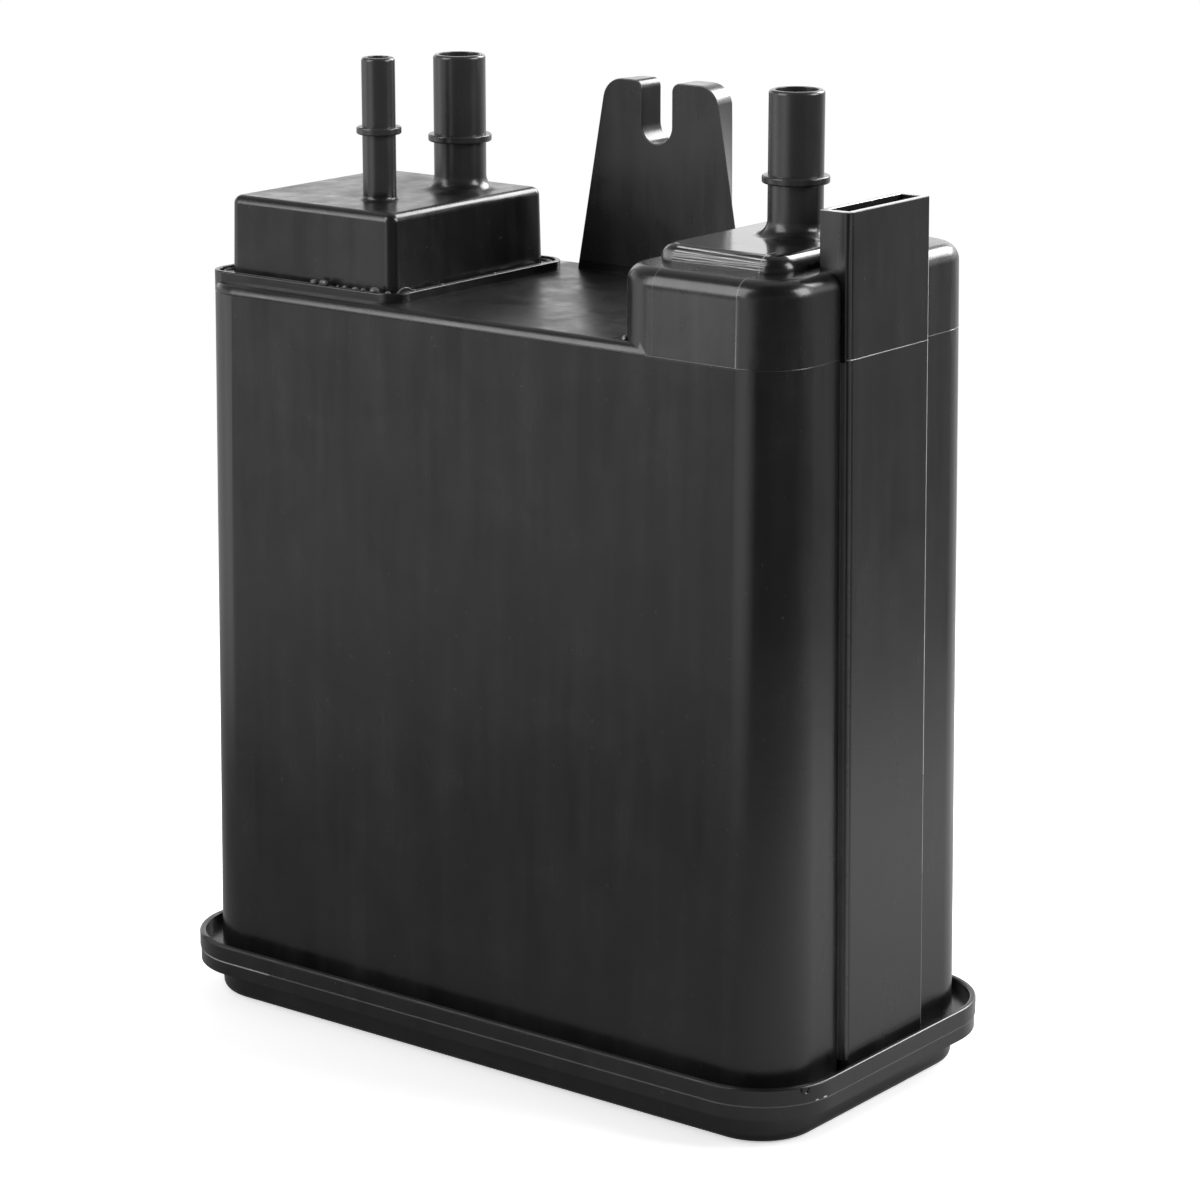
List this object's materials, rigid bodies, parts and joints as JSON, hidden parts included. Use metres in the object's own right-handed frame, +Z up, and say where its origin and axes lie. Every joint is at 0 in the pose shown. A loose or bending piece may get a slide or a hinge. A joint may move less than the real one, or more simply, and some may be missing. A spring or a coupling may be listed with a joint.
{
  "type": "charcoal canister",
  "caption": "Black moulded fuel-vapour canister: drafted box with welded bottom cover and port cap, beaded hose ports, slotted mounting ear and clip socket, carbon beds inside",
  "frame": {"origin": "centre of the bounding box's bottom face, on the underside of the bottom cover", "axes": "+Z up along the ports, -X the end with the port cap, +X the end with the clip socket, +Y the side with the mounting ear"},
  "size_m": [0.2362, 0.1184, 0.2932],
  "materials": {
    "moulded_nylon": "semi-gloss black moulded nylon",
    "activated_carbon": "packed matt black pellets",
    "filter_felt": "needle felt",
    "spring_steel": "drawn spring wire"
  },
  "bodies": {
    "root": {"canister_body": "moulded_nylon", "port_cap": "moulded_nylon", "bottom_cover": "moulded_nylon", "main_retainer_grid": "moulded_nylon", "vent_retainer_grid": "moulded_nylon", "main_carbon_bed": "activated_carbon", "vent_carbon_bed": "activated_carbon", "main_upper_felt": "filter_felt", "vent_upper_felt": "filter_felt", "main_lower_felt": "filter_felt", "vent_lower_felt": "filter_felt", "main_spring_1": "spring_steel", "main_spring_2": "spring_steel", "main_spring_3": "spring_steel", "main_spring_4": "spring_steel", "vent_spring_1": "spring_steel", "vent_spring_2": "spring_steel"}
  },
  "joints": []
}
